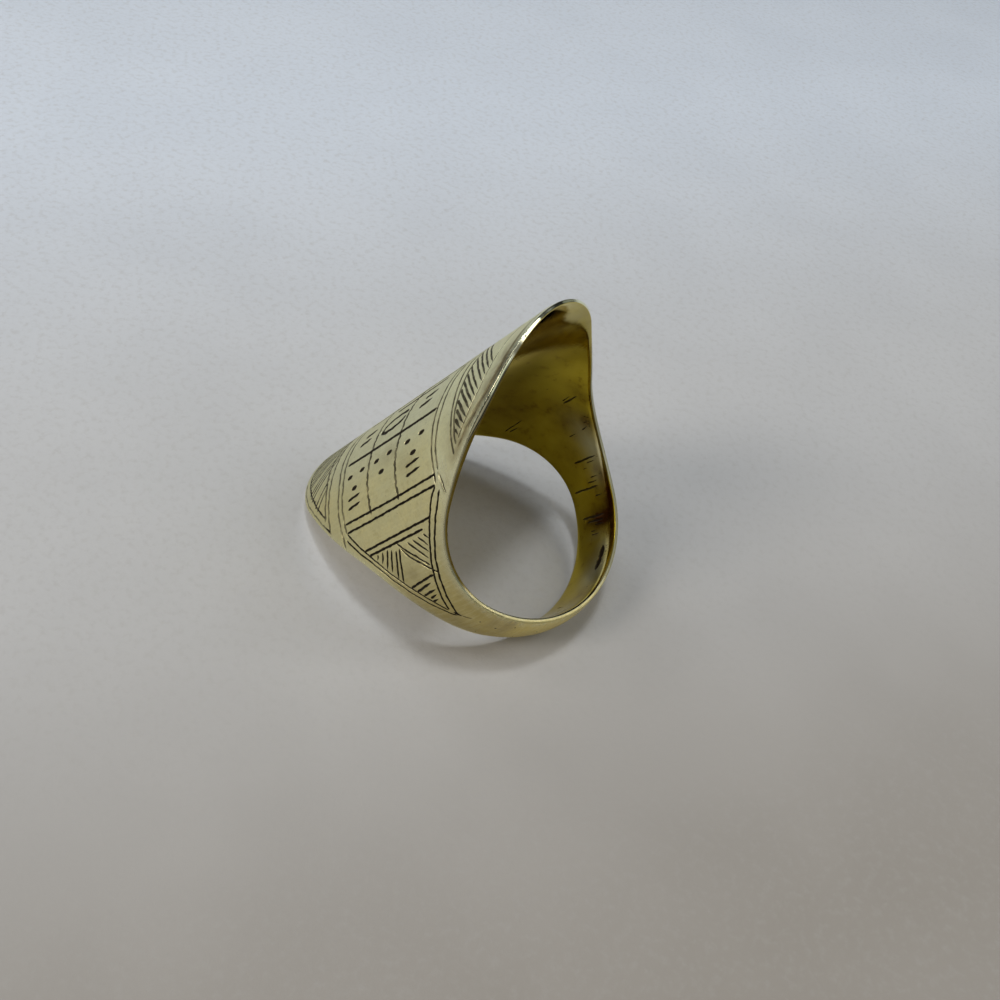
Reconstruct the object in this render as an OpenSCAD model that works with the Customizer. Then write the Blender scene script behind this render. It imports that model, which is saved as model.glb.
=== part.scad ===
// Shield ring: one sheet of brass, cut as a long leaf with two narrow ends, rolled round the finger
// and closed at the back. It rests as it would by itself, on the lower tip of the plate and the
// lower edge of the shank. Units are millimetres, +Z is up, and the origin is on the table,
// under the middle of the ring's box.

/* [Finger hole] */
// Radius of the round hole that the finger goes through
hole_r = 9.3; // [8:0.1:11]

/* [Plate] */
// Half the length of the plate, measured along the finger
plate_half = 15; // [13:0.5:18]
// Radius of the plate's two rounded ends, on the flat sheet
tip_r = 8.8; // [7:0.2:9.6]
// Angle between the straight flanks of the plate and the line round the finger
flank_angle = 50; // [44:1:54]
// Thickness of the sheet at the middle of the plate
plate_t = 0.6; // [0.5:0.05:1]

/* [Shank] */
// Half the width of the narrow band behind the finger
shank_half = 2.3; // [1.8:0.1:3]
// Radius of the hollow curve that leads each flank into the shank
hollow_r = 10.8; // [8:0.2:12]
// Thickness of the shank at its two edges
shank_edge_t = 0.4; // [0.35:0.05:0.6]
// Height of the shank's rounded back above its edges
shank_crown = 0.55; // [0.3:0.05:0.8]

/* [Edges] */
// Radius of the filed corners along the rim
edge_r = 0.12; // [0.08:0.01:0.14]

/* [Hidden] */

brass_colour = [0.69, 0.66, 0.46];

// Angle between neighbouring cross-sections, and the number of them round the finger
section_step = 3;
sections = 360 / section_step;
// Steps across the back of each cross-section
crown_steps = 8;
// How far the loft reaches into the hole before the hole is bored
bore_allowance = 0.4;
// How far the boring tool runs past the plate at each end
bore_overrun = 2;
// Share of the corner radius that the middle of a rounded corner stands in from its square corner
corner_in = 1 - cos(45);

// Outline of the flat sheet, as distances round the finger from the middle of the plate (round_)
// and half widths along the finger (wide_): end arc, straight flank, hollow curve, shank
round_end = tip_r * sin(flank_angle);
wide_end = plate_half - tip_r * (1 - cos(flank_angle));
wide_hollow = shank_half + hollow_r * (1 - cos(flank_angle));
round_hollow = round_end + (wide_end - wide_hollow) / tan(flank_angle);
round_shank = round_hollow + hollow_r * sin(flank_angle);

function half_width(s) =
    s < round_end ? plate_half - tip_r + sqrt(tip_r * tip_r - s * s) :
    s < round_hollow ? wide_end - (s - round_end) * tan(flank_angle) :
    s < round_shank ? shank_half + hollow_r - sqrt(pow(hollow_r, 2) - pow(round_shank - s, 2)) :
    shank_half;

// Distance round the finger from the middle of the plate, at an angle from -180 to 180
function around(a) = hole_r * abs(a) * PI / 180;

// Share of the way from plate, 0, to the middle of the shank, 1
function backness(a) = (1 - cos(a)) / 2;

function edge_t(a) = plate_t + (shank_edge_t - plate_t) * backness(a);

function crown(a) = shank_crown * pow(backness(a), 2);

// Radius of the outer face at angle a, where across runs from -1 to 1 over the width
function outer_r(a, across) = hole_r + edge_t(a) + crown(a) * (1 - across * across);

// One side of a cross-section, as [distance along the finger, radius] from the hole to the back
function rim_side(w, r_out) = [
    [w - edge_r * (2 - corner_in), hole_r - bore_allowance],
    [w - edge_r * (2 - corner_in), hole_r - edge_r * corner_in],
    [w - edge_r * corner_in, hole_r + edge_r * corner_in],
    [w, hole_r + edge_r],
    [w, r_out - edge_r],
    [w - edge_r * corner_in, r_out - edge_r * corner_in],
];

function mirrored(side) = [for (k = [len(side) - 1:-1:0]) [-side[k][0], side[k][1]]];

// The whole cross-section at angle a, as a closed loop
function section(a) =
    let (w = half_width(around(a)), side = rim_side(w, outer_r(a, 1)), flat = 1 - edge_r / w)
    concat(
        side,
        [for (k = [0:crown_steps])
            let (across = flat * (1 - 2 * k / crown_steps)) [w * across, outer_r(a, across)]],
        mirrored(side)
    );

// A point of a cross-section in space: the finger is along Z and the plate is towards -X
function placed(p, a) = [-p[1] * cos(a), p[1] * sin(a), p[0]];

// Closed skin over rings of points, each joined to the next and the last to the first
function ring_faces(rings, n) = [
    for (i = [0:rings - 1], j = [0:n - 1])
        let (i2 = (i + 1) % rings, j2 = (j + 1) % n)
        each [[i * n + j, i2 * n + j, i2 * n + j2], [i * n + j, i2 * n + j2, i * n + j2]]
];

// The two points that touch the table, as [along the finger, radius] at the tip and at the shank
touch_tip = [plate_half - edge_r * corner_in, hole_r + edge_r * corner_in];
touch_shank = [shank_half - edge_r * corner_in, hole_r + shank_edge_t - edge_r * corner_in];

// Lean of the finger's line from upright, which puts both points at one height
lean = atan((touch_tip[0] - touch_shank[0]) / (touch_tip[1] + touch_shank[1]));

// Height and reach of points after the lean
function leaned_x(p) = p[0] * cos(lean) + p[2] * sin(lean);
function leaned_z(p) = p[2] * cos(lean) - p[0] * sin(lean);

touch_z = leaned_z([touch_shank[1], 0, -touch_shank[0]]);
outer_points = [
    for (a = [0:section_step:360 - section_step], p = section(a > 180 ? a - 360 : a))
        if (p[1] > hole_r) placed(p, a)
];
reach_x = [for (p = outer_points) leaned_x(p)];
middle_x = (min(reach_x) + max(reach_x)) / 2;

// The sheet as it stands round an upright finger, with the hole bored true
module rolled_sheet() {
    loops = [for (k = [0:sections - 1])
        let (a = k * section_step, turn = a > 180 ? a - 360 : a)
        [for (p = section(turn)) placed(p, turn)]];
    difference() {
        polyhedron(
            points = [for (loop = loops) each loop],
            faces = ring_faces(sections, len(loops[0])),
            convexity = 6
        );
        cylinder(r = hole_r, h = 2 * (plate_half + bore_overrun), center = true, $fn = 180);
    }
}

module ring_band() {
    color(brass_colour)
        translate([-middle_x, 0, -touch_z])
            rotate([0, lean, 0])
                rolled_sheet();
}

ring_band();
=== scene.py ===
# Looks of the engraved shield ring: one closed brass mesh with its engraving cut in as real grooves, and a
# plain table with soft light. Sizes are millimetres and degrees until the mesh is made; Blender gets metres.
import math
import random

import bmesh
import bpy
import numpy as np
from mathutils import Matrix, Vector, noise
from mathutils.geometry import delaunay_2d_cdt


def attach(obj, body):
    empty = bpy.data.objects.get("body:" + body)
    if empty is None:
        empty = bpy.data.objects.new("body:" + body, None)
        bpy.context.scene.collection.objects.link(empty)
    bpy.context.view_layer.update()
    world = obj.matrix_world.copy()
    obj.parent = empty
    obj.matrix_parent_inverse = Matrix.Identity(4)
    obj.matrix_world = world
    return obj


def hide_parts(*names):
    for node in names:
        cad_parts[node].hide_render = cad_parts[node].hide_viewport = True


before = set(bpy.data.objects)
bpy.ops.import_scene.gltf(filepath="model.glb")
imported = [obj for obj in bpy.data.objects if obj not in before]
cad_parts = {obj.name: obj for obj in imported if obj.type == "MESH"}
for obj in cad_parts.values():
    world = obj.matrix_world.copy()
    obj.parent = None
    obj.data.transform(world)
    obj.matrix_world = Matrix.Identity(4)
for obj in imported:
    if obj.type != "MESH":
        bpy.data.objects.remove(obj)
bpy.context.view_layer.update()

MM = 0.001

# Form of the ring, the same values as in the solid's source
HOLE_R = 9.3
PLATE_HALF = 15.0
TIP_R = 8.8
FLANK = math.radians(50)
PLATE_T = 0.6
SHANK_HALF = 2.3
HOLLOW_R = 10.8
SHANK_EDGE_T = 0.4
SHANK_CROWN = 0.55
# Where the finger's line passes, and the sine and cosine of its lean from upright
LINE_X, LINE_Z = 3.598, 7.254
LEAN_SIN, LEAN_COS = 0.55571, 0.831376

ROUND_END = TIP_R * math.sin(FLANK)
WIDE_END = PLATE_HALF - TIP_R * (1 - math.cos(FLANK))
WIDE_HOLLOW = SHANK_HALF + HOLLOW_R * (1 - math.cos(FLANK))
ROUND_HOLLOW = ROUND_END + (WIDE_END - WIDE_HOLLOW) / math.tan(FLANK)
ROUND_SHANK = ROUND_HOLLOW + HOLLOW_R * math.sin(FLANK)
HALF_TURN = math.pi * HOLE_R

# Surface work that only this visual model has
# The outer face falls a little over this margin along the rim, as filing leaves it
ROLL_DEPTH, ROLL_WIDTH = 0.08, 0.45
# Corners of the rims: a small radius on the outer face, taller on the band behind the finger, and on the wall
# of the hole a wide, low roll, wider along the tips
EDGE_OUT, EDGE_BACK = 0.07, 0.14
EDGE_IN, EDGE_TIP, EDGE_DEEP = 0.5, 0.75, 0.07
CORNER_IN, CORNER_BACK = 0.06, 0.05
# The rim belongs to the rounded tips up to the angle TIP_END, less and less over the last TIP_FADE degrees
TIP_END, TIP_FADE = 50, 14
# The hole opens a little towards the two tips, from this far along the finger
FLARE, FLARE_FROM = 0.22, 8.5
# Depth and size of the shallow unevenness of hand-worked sheet, on the outer face and on the wall of the
# hole, and the distance over which it fades out beside the rims
DENT, DENT_SIZE = 0.012, 3.2
WALL_DENT, WALL_DENT_SIZE = 0.008, 2.6
DENT_FADE = 0.8
# Width of the rubbed margin of the outer face, and the distance over which cuts fade out beside the rims
WEAR_WIDTH, CUT_FADE = 0.5, 0.08

# Fineness of the mesh: degrees between the points along the rims, and the distance between plain points on
# the outer face and on the wall of the hole
STATION = 0.75
LATTICE, WALL_LATTICE = 0.42, 0.5
# How far plain points keep from the cuts, from the rims and from the seam where the sheet's ends join
OFF_CUTS, OFF_RIMS, OFF_SEAM = 0.11, 0.2, 0.15
# How far the cuts themselves keep from the rims
CUTS_OFF_RIMS = 0.04
# Half the distance over which the slope of the rim is taken
SLOPE_STEP = 0.01


def half_width(s):
    """Half the width along the finger, at distances s round it from the middle of the plate."""
    s = np.abs(s)
    tip = PLATE_HALF - TIP_R + np.sqrt(np.clip(TIP_R**2 - s**2, 0, None))
    flank = WIDE_END - (s - ROUND_END) * math.tan(FLANK)
    hollow = SHANK_HALF + HOLLOW_R - np.sqrt(np.clip(HOLLOW_R**2 - (ROUND_SHANK - s) ** 2, 0, None))
    return np.select([s < ROUND_END, s < ROUND_HOLLOW, s < ROUND_SHANK], [tip, flank, hollow], SHANK_HALF)


def rim_slope(s):
    """How much the half width changes with s."""
    return (half_width(s + SLOPE_STEP) - half_width(s - SLOPE_STEP)) / (2 * SLOPE_STEP)


def rim_gap(s, x):
    """Distance from a point of the sheet to the nearer rim, across the rim."""
    return (half_width(s) - np.abs(x)) / np.sqrt(1 + rim_slope(s) ** 2)


def tip_share(s):
    """How far a place along the rim belongs to the rounded tips, from 0 to 1."""
    t = np.clip((TIP_END - np.abs(np.degrees(s / HOLE_R))) / TIP_FADE, 0, 1)
    return t * t * (3 - 2 * t)


def backness(s):
    """Share of the way from the middle of the plate, 0, to the middle of the shank, 1."""
    return (1 - np.cos(s / HOLE_R)) / 2


def flare(x):
    """How far the wall of the hole opens towards the two tips."""
    return FLARE * np.clip((np.abs(x) - FLARE_FROM) / (PLATE_HALF - FLARE_FROM), 0, 1) ** 1.5


def outer_radius(s, x):
    """Radius of the outer face, without its dents and cuts."""
    back = backness(s)
    across = x / half_width(s)
    edge = PLATE_T + (SHANK_EDGE_T - PLATE_T) * back
    rolled = np.clip(1 - rim_gap(s, x) / ROLL_WIDTH, 0, 1) ** 2 * ROLL_DEPTH * (1 - back) ** 2
    return HOLE_R + edge + SHANK_CROWN * back**2 * (1 - across**2) - rolled


def placed(s, x, radius):
    """Points of the sheet in the row's frame, in metres."""
    turn = s / HOLE_R
    up = radius * np.cos(turn)
    row_x = LEAN_SIN * x - LEAN_COS * up + LINE_X
    row_z = LEAN_COS * x + LEAN_SIN * up + LINE_Z
    return MM * np.stack([row_x, radius * np.sin(turn), row_z], axis=-1)


# Engraving: every cut is a V groove along a curve of the flat sheet. In the lists, a point is x in
# millimetres along the finger and an angle in degrees round it, 0 at the middle of the plate and 180 at the
# middle of the shank.
class Cut:
    """A groove: its bottom line (s, x), and at each point its half width, its depth and its dark oxide."""

    def __init__(self, line, half, depth, soot):
        self.line, self.half, self.depth, self.soot = line, half, depth, soot


def smooth_line(points, step):
    """Even points along a smooth curve through the given ones, and how far along it each of them is."""
    p = np.array([(math.radians(a) * HOLE_R, x) for x, a in points])
    if len(p) > 2:
        q = np.vstack([2 * p[0] - p[1], p, 2 * p[-1] - p[-2]])
        t = np.linspace(0, 1, 16, endpoint=False)[:, None]
        bits = []
        for a, b, c, d in zip(q[:-3], q[1:-2], q[2:-1], q[3:]):
            square, cube = 2 * a - 5 * b + 4 * c - d, 3 * b - a - 3 * c + d
            bits.append(0.5 * (2 * b + (c - a) * t + square * t**2 + cube * t**3))
        p = np.vstack([*bits, p[-1:]])
    along = np.concatenate([[0], np.cumsum(np.linalg.norm(np.diff(p, axis=0), axis=1))])
    count = max(3, int(round(along[-1] / step)) + 1)
    at = np.linspace(0, along[-1], count)
    return np.stack([np.interp(at, along, p[:, k]) for k in (0, 1)], axis=1), at


def sideways(line):
    """Steps of length 1 square to a line, at each of its points."""
    way = np.gradient(line, axis=0)
    return np.stack([-way[:, 1], way[:, 0]], axis=1) / np.linalg.norm(way, axis=1)[:, None]


def swing(at, length, r):
    """A wave of this length along a line, which starts anywhere."""
    return np.sin(2 * math.pi * (at / length + r.random()))


def cut(
    points, width=0.15, depth=0.08, soot=1.0, wobble=0.02, wave=1.6, ends=(0.2, 0.2), step=0.19, seed=0,
    patchy=0.0, ragged=0.1,
):
    """A groove cut by hand: it wobbles, swells and thins, tapers at its ends and has lost some oxide."""
    line, at = smooth_line(points, step)
    # Random numbers that depend on the cut alone
    r = random.Random(seed * 7919 + len(points) * 131 + int(1000 * abs(points[0][0])))
    run = at[-1]
    # The course drifts, but both ends stay in place
    drift = sum(r.uniform(0.4, 1) / k * swing(at, wave / k, r) for k in (1, 2, 3)) * wobble
    free = np.clip(np.minimum(at, run - at) / 0.5, 0, 1)
    line = line + sideways(line) * (drift * free)[:, None]
    first, last = (max(length, 1e-3) for length in ends)
    taper = np.minimum(np.clip(at / first, 0, 1), np.clip((run - at) / last, 0, 1))
    press = 1 + 0.16 * swing(at, 0.9, r) * r.uniform(0.3, 1)
    press += ragged * swing(at, 0.47, r)
    half = width / 2 * taper**0.7 * press
    worn = np.clip(0.5 + swing(at, 1.7, r) + swing(at, 0.63, r), 0, 1)
    return Cut(line, half, depth * taper**0.8 * press, soot * (1 - patchy * worn))


def dot(x, a, length=0.84, width=0.40, depth=0.13, soot=1.0):
    """A pecked mark: a short pit with rounded ends, lying along the finger."""
    c = cut([(x - length / 2, a), (x + length / 2, a)], width, depth, soot, wobble=0, step=length / 6)
    t = np.linspace(-1, 1, len(c.half))
    c.half = width / 2 * np.sqrt(np.clip(1 - t**2, 0, 1))
    c.depth = depth * np.sqrt(np.clip(1 - t**2, 0, 1)) ** 0.7
    return c


def over_crest(points):
    """A curve of one flank, given from the crest outward, with its mirror image joined over the crest."""
    other = [(x, -a) for x, a in reversed(points) if abs(a) > 0.01]
    return other + points


def both_flanks(make):
    """The same work on the flank at negative angles and, mirrored, on the other one."""
    return [*make(-1, 1), *make(1, 2)]


def round_cuts():
    """Lines that run round the finger, over the crest of the plate."""
    fine = dict(width=0.23, depth=0.065, soot=0.88, patchy=0.25)
    scratchy = dict(width=0.27, depth=0.07, soot=0.82, wobble=0.04, wave=1.1, patchy=0.4)
    deep = dict(width=0.31, depth=0.08, soot=0.9, wobble=0.05, wave=0.8, step=0.13, patchy=0.4, ragged=0.25)
    near_arc = dict(width=0.13, depth=0.05, soot=0.9, patchy=0.3)
    far_arc = dict(width=0.18, depth=0.065, soot=1.0, patchy=0.2)
    lines = (
        # Near edge of the panel, a pair; its outer line runs on to the rim
        ([(6.3, 0), (6.3, -12), (6.25, -24), (6.1, -32), (6.03, -48), (6.1, -56.5), (5.95, -60.5)], fine),
        ([(6.95, 0), (6.9, -14), (6.85, -26), (6.65, -38), (6.5, -48), (6.58, -56)], fine),
        # Far edge of the panel, a pair with a shakier hand
        (
            [(-7.1, 0), (-7.0, -14), (-6.7, -27), (-6.35, -38), (-6.3, -48), (-6.12, -56), (-6.1, -61)],
            scratchy,
        ),
        (
            [(-7.9, 0), (-7.75, -14), (-7.45, -26), (-7.0, -38), (-6.88, -52), (-6.7, -62), (-6.72, -66.5)],
            scratchy,
        ),
        # Two lines that part the panel into cells
        ([(1.3, 0), (1.35, -14), (1.42, -24), (1.42, -32), (1.3, -38), (1.36, -48), (1.5, -59)], deep),
        (
            [(-2.95, 0), (-2.85, -13), (-2.72, -22), (-2.6, -32), (-2.55, -42), (-2.38, -52), (-2.25, -58.7)],
            {**deep, "seed": 1},
        ),
        # Base pairs of the two end leaves
        ([(7.9, 0), (8.0, -14), (8.2, -26), (8.28, -38), (8.35, -46), (8.55, -54)], fine),
        ([(8.6, 0), (8.72, -14), (8.76, -26), (8.65, -36), (8.74, -46), (8.9, -50.5)], fine),
        ([(-9.6, 0), (-9.3, -12), (-8.85, -24), (-8.6, -36), (-8.45, -46), (-8.4, -57)], scratchy),
        ([(-10.3, 0), (-10.1, -12), (-9.65, -26), (-9.15, -36), (-9.0, -44), (-8.98, -51)], scratchy),
        # Arcs that close the end leaves
        ([(12.6, 0), (12.5, -9), (12.14, -19), (11.4, -31), (10.2, -41), (9.1, -48.6)], near_arc),
        (
            [(-14.05, 0), (-13.9, -10), (-13.4, -20.7), (-12.4, -29.5), (-11.4, -36), (-10.2, -43),
             (-8.9, -49.4)],
            far_arc,
        ),
    )
    return [cut(over_crest(points), **looks) for points, looks in lines]


def border_cut(x_sign, gap, angles, **looks):
    """A line that keeps its distance from the rim."""
    points = []
    for a in angles:
        s = math.radians(a) * HOLE_R
        off = gap * math.sqrt(1 + float(rim_slope(s)) ** 2)
        points.append((x_sign * (float(half_width(s)) - off), a))
    return cut(points, **looks)


def border_cuts():
    """Lines beside the rims: one along the near tip with slips by it, and short ones along the far tip."""
    angles = [-52, -46, -38, -30, -22, -14, -6, 0, 6, 14, 22, 30, 38, 46, 52]
    out = [border_cut(1, 0.56, angles, width=0.2, depth=0.05, soot=0.45, wobble=0.03, seed=3, patchy=0.6)]
    for gap, first, last, width, soot in (
        (0.4, -47, -22, 0.12, 0.7), (0.76, -47, -36, 0.09, 0.4), (0.72, -30, -8, 0.1, 0.6),
    ):
        looks = dict(width=width, depth=0.03, soot=soot, wobble=0.02, seed=int(100 * gap), patchy=0.7)
        for sign in (-1, 1):
            angles = [sign * -(first + (last - first) * k / 5) for k in range(6)]
            out.append(border_cut(1, gap, angles, **looks))
    slip = dict(width=0.15, depth=0.04, soot=0.7, seed=4, patchy=0.5)
    nick = dict(width=0.19, depth=0.08, soot=1.0, seed=5)
    for sign in (-1, 1):
        out.append(border_cut(-1, 0.34, [sign * a for a in (22, 30, 37, 43, 48, 53, 57.5)], **slip))
        out.append(border_cut(-1, 0.36, [sign * a for a in (53.4, 56.4)], **nick))
    return out


def leaf_hatch(sign, seed):
    """Slanted strokes that fill one half of the two end leaves, as veins fill a leaf."""
    out = []
    slant = math.radians(38)

    def stroke(start, end, **looks):
        line = [
            (float(x), math.degrees(-sign * float(s) / HOLE_R)) for s, x in (start, (start + end) / 2, end)
        ]
        out.append(cut(line, wobble=0.015, **looks))

    # Near leaf: bold strokes from its base pair to its arc, a circle on the flat sheet
    arc_r, arc_x, base = 10.5, 2.1, 8.78
    gap, wide_gap = 0.66, 0.84
    way = np.array([-math.cos(slant), math.sin(slant)])
    s, k = 0.5, seed
    while s > -7.2:
        start = np.array([s, base])
        # The arc is met where the distance along the stroke is -b plus the root
        b = start @ way - arc_x * way[1]
        root = b * b - (s * s + (base - arc_x) ** 2 - arc_r**2)
        if root > 0 and -b + math.sqrt(root) > 0.45:
            end = start + (-b + math.sqrt(root) - 0.03) * way
            bold = 0.19 + 0.11 * min(max((-s - 2.5) / 3, 0), 1)
            looks = dict(width=bold, depth=0.08, soot=0.95, ends=(0.15, 0.7), patchy=0.15, ragged=0.03)
            stroke(start, end, seed=k, **looks)
        s -= gap if k % 4 else wide_gap
        k += 1

    # Far leaf: fine close strokes from its arc to its base pair or to the crest, some of them left bright
    arc_r, arc_x, base = 8.78, -5.3, -9.12
    gap, wide_gap = 0.33, 0.42
    dark = dict(width=0.23, depth=0.07, soot=0.95, ends=(0.1, 0.15), patchy=0.25)
    bright = {**dark, "width": 0.17, "depth": 0.05, "soot": 0.0}
    way = np.array([math.cos(slant), math.sin(slant)])
    s, k = -7.1, seed
    while s < -0.8:
        start = np.array([s, arc_x - math.sqrt(max(arc_r**2 - s * s, 0)) + 0.06])
        run = min((base - start[1]) / way[1] - 0.1, (0.25 - s) / way[0])
        if run > 0.35:
            stroke(start, start + run * way, seed=k, **(bright if k % 4 == 3 else dark))
        s += gap if k % 3 else wide_gap
        k += 1
    return out


# Angles of lines along the finger: below the upper cells, at the panel's foot, and across the pointed field
ROW_LINE, PANEL_FOOT, PANEL_FOOT_2 = 28.8, 56.8, 60.7
CHEST_TOP, CHEST_TOP_2 = 71.1, 73.8


def flank_cuts(sign, seed):
    """Everything that lies on one flank: the panel's rows, its marks and the pointed field below it."""
    def c(points, **looks):
        return cut([(x, sign * a) for x, a in points], seed=seed, **looks)

    bold = dict(width=0.19, depth=0.095, soot=1.0, wobble=0.014, ends=(0.15, 0.15))
    row = {**bold, "width": 0.3, "ragged": 0.04}
    crest = {**bold, "width": 0.38, "ragged": 0.02}
    line = dict(width=0.19, depth=0.085, soot=1.0, wobble=0.026, ends=(0.15, 0.1), ragged=0.12)
    bright = dict(width=0.26, depth=0.06, soot=0.0, wobble=0, ends=(0.5, 0.8))
    out = [
        c([(-6.3, ROW_LINE), (-2.6, ROW_LINE + 0.1), (1.4, ROW_LINE), (6.08, ROW_LINE - 0.4)], **row),
        c(
            [(-6.1, PANEL_FOOT), (-2.3, PANEL_FOOT + 0.3), (1.2, PANEL_FOOT + 0.4), (6.2, PANEL_FOOT - 0.1)],
            **bold,
        ),
        c(
            [(-6.05, PANEL_FOOT_2), (-2.4, PANEL_FOOT_2 + 0.2), (1.5, PANEL_FOOT_2),
             (5.95, PANEL_FOOT_2 - 0.1)],
            **bold,
        ),
        c([(-4.45, CHEST_TOP + 0.2), (0.5, CHEST_TOP - 0.1), (4.45, CHEST_TOP - 0.3)], **bold),
        c([(-4.05, CHEST_TOP_2), (-0.5, CHEST_TOP_2), (3.2, CHEST_TOP_2 - 0.1)], **bold),
        # Lines next to the crest
        c([(-1.6, 8.8), (1.4, 8.2), (5.0, 7.4)], **crest),
        c([(-6.6, 3.5), (0, 3.2), (6.2, 3.0)], **crest),
        # Pointed field: a pair down each side to one point
        c(
            [(5.95, 60.6), (5.1, 65.1), (4.45, 70.1), (3.75, 75.3), (3.08, 80.5), (2.2, 87.1), (1.4, 94),
             (0.6, 101.5), (-0.08, 109)],
            **line,
        ),
        c(
            [(6.3, 62.8), (5.55, 67.9), (4.6, 74), (3.8, 79.5), (3.1, 84.2), (2.3, 90.8), (1.4, 99.2),
             (0.5, 108.5), (0.15, 113)],
            **line,
        ),
        c(
            [(-6.05, 60.7), (-5.1, 67.1), (-4.05, 74), (-3.45, 78.2), (-2.85, 83.2), (-1.9, 91), (-1.0, 98.8),
             (-0.4, 105.4), (-0.1, 109.2)],
            **line,
        ),
        c(
            [(-6.35, 63), (-5.4, 69.3), (-4.7, 73.5), (-3.95, 78.3), (-3.35, 83.3), (-2.3, 92.5),
             (-1.4, 100.8), (-0.55, 108.5), (0.0, 113.3)],
            **line,
        ),
        c([(0.0, 110.6), (0.2, 113.2), (0.32, 114.4)], width=0.3, depth=0.09, ends=(0.2, 0.3)),
        c([(0.3, 114.0), (0.45, 115.6), (0.72, 118.0)], width=0.11, depth=0.05, soot=0.8),
        # A bright slip of the graver beside the panel's near edge
        c([(6.5, 55.6), (6.62, 61), (6.7, 66.6)], **bright),
        c([(6.68, 57), (6.8, 62), (6.84, 67)], width=0.13, depth=0.06, soot=1.0, ends=(0.6, 0.3)),
        # Double line that parts the plain lozenge from the hatched triangles
        c([(-0.3, 74.2), (0.55, 79.3), (1.25, 83.2), (1.98, 87.9)], **line),
        c([(-0.12, 76.8), (0.35, 80.7), (1.15, 85.4), (1.85, 89.6), (2.3, 92.4)], **line),
        # Foot of the lozenge
        c([(1.62, 91.7), (0.4, 92.2), (-1.6, 93.3)], **bold),
    ]
    # Hatching of the triangles, each stroke from its first to its last point
    hatch = dict(width=0.2, depth=0.085, soot=1.0, wobble=0.018, ends=(0.12, 0.5), ragged=0.06)
    for x0, a0, x1, a1 in (
        # Triangle towards the far tip
        (-2.95, 74.6, -3.4, 77.1), (-2.28, 74.6, -3.05, 79.5), (-1.6, 74.7, -2.8, 82.2),
        (-1.15, 75.4, -2.45, 84.3), (-0.66, 76.5, -2.22, 87.9), (-0.2, 76.3, -2.0, 90.6),
        # Triangle towards the near tip
        (2.9, 75.2, 3.4, 78.5), (2.18, 75.3, 2.95, 80.7), (1.5, 75.4, 2.68, 83.0), (0.85, 75.4, 2.3, 85.4),
        # Triangle at the point
        (-1.3, 95.8, 0.8, 94.3), (-0.95, 98.5, 0.72, 97.7), (-0.6, 100.8, 0.4, 99.9),
        (-0.65, 102.5, 0.16, 102.1),
    ):
        out.append(c([(x0, a0), ((x0 + x1) / 2 + 0.04, (a0 + a1) / 2), (x1, a1)], **hatch))
    # Small pits of wear on the band behind the finger: x, angle and width
    for x, a, size in (
        (0.8, 121.3, 0.13), (0.75, 129.1, 0.16), (-1.1, 126.5, 0.12), (1.5, 135.8, 0.12), (-0.3, 142.0, 0.14),
        (0.9, 149.5, 0.11),
    ):
        out.append(dot(-sign * x, sign * a, size * 1.3, size, depth=0.03, soot=0.8))
    # Marks in the cells: an even run of pecked triangles, with a pair of dashes under the outer two
    dash = dict(width=0.23, depth=0.1, soot=1.0, wobble=0.012, ends=(0.12, 0.5), ragged=0.03)
    for middle in (-4.5, -0.6, 3.65):
        for dx, a in ((-0.88, 36.4), (0.9, 36.0), (0.02, 42.9)):
            out.append(dot(middle + dx, sign * a))
    for middle in (-4.5, 3.65):
        for a in (47.0, 50.9):
            out.append(c([(middle - 0.95, a + 0.5), (middle + 0.95, a - 0.4)], **dash))
    # Upper cells: dashes either side of a long leaf-shaped loop
    wide_dash = {**dash, "width": 0.4}
    for middle in (-4.7, 3.7):
        for a, shift in ((19.3, 0.0), (14.6, 0.25)):
            out.append(c([(middle - 0.85 + shift, a + 0.5), (middle + 0.85 + shift, a - 0.5)], **wide_dash))
    loop = dict(width=0.40, depth=0.1, soot=1.0, wobble=0.01, ends=(0.1, 0.2), ragged=0.04)
    out.append(c([(-2.25, 19.6), (-1.6, 22.0), (-0.5, 22.0), (0.6, 20.6), (1.02, 18.0)], **loop))
    out.append(c([(-2.1, 19.0), (-1.4, 16.3), (-0.3, 15.0), (0.6, 15.1), (1.05, 16.3)], **loop))
    return out


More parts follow.
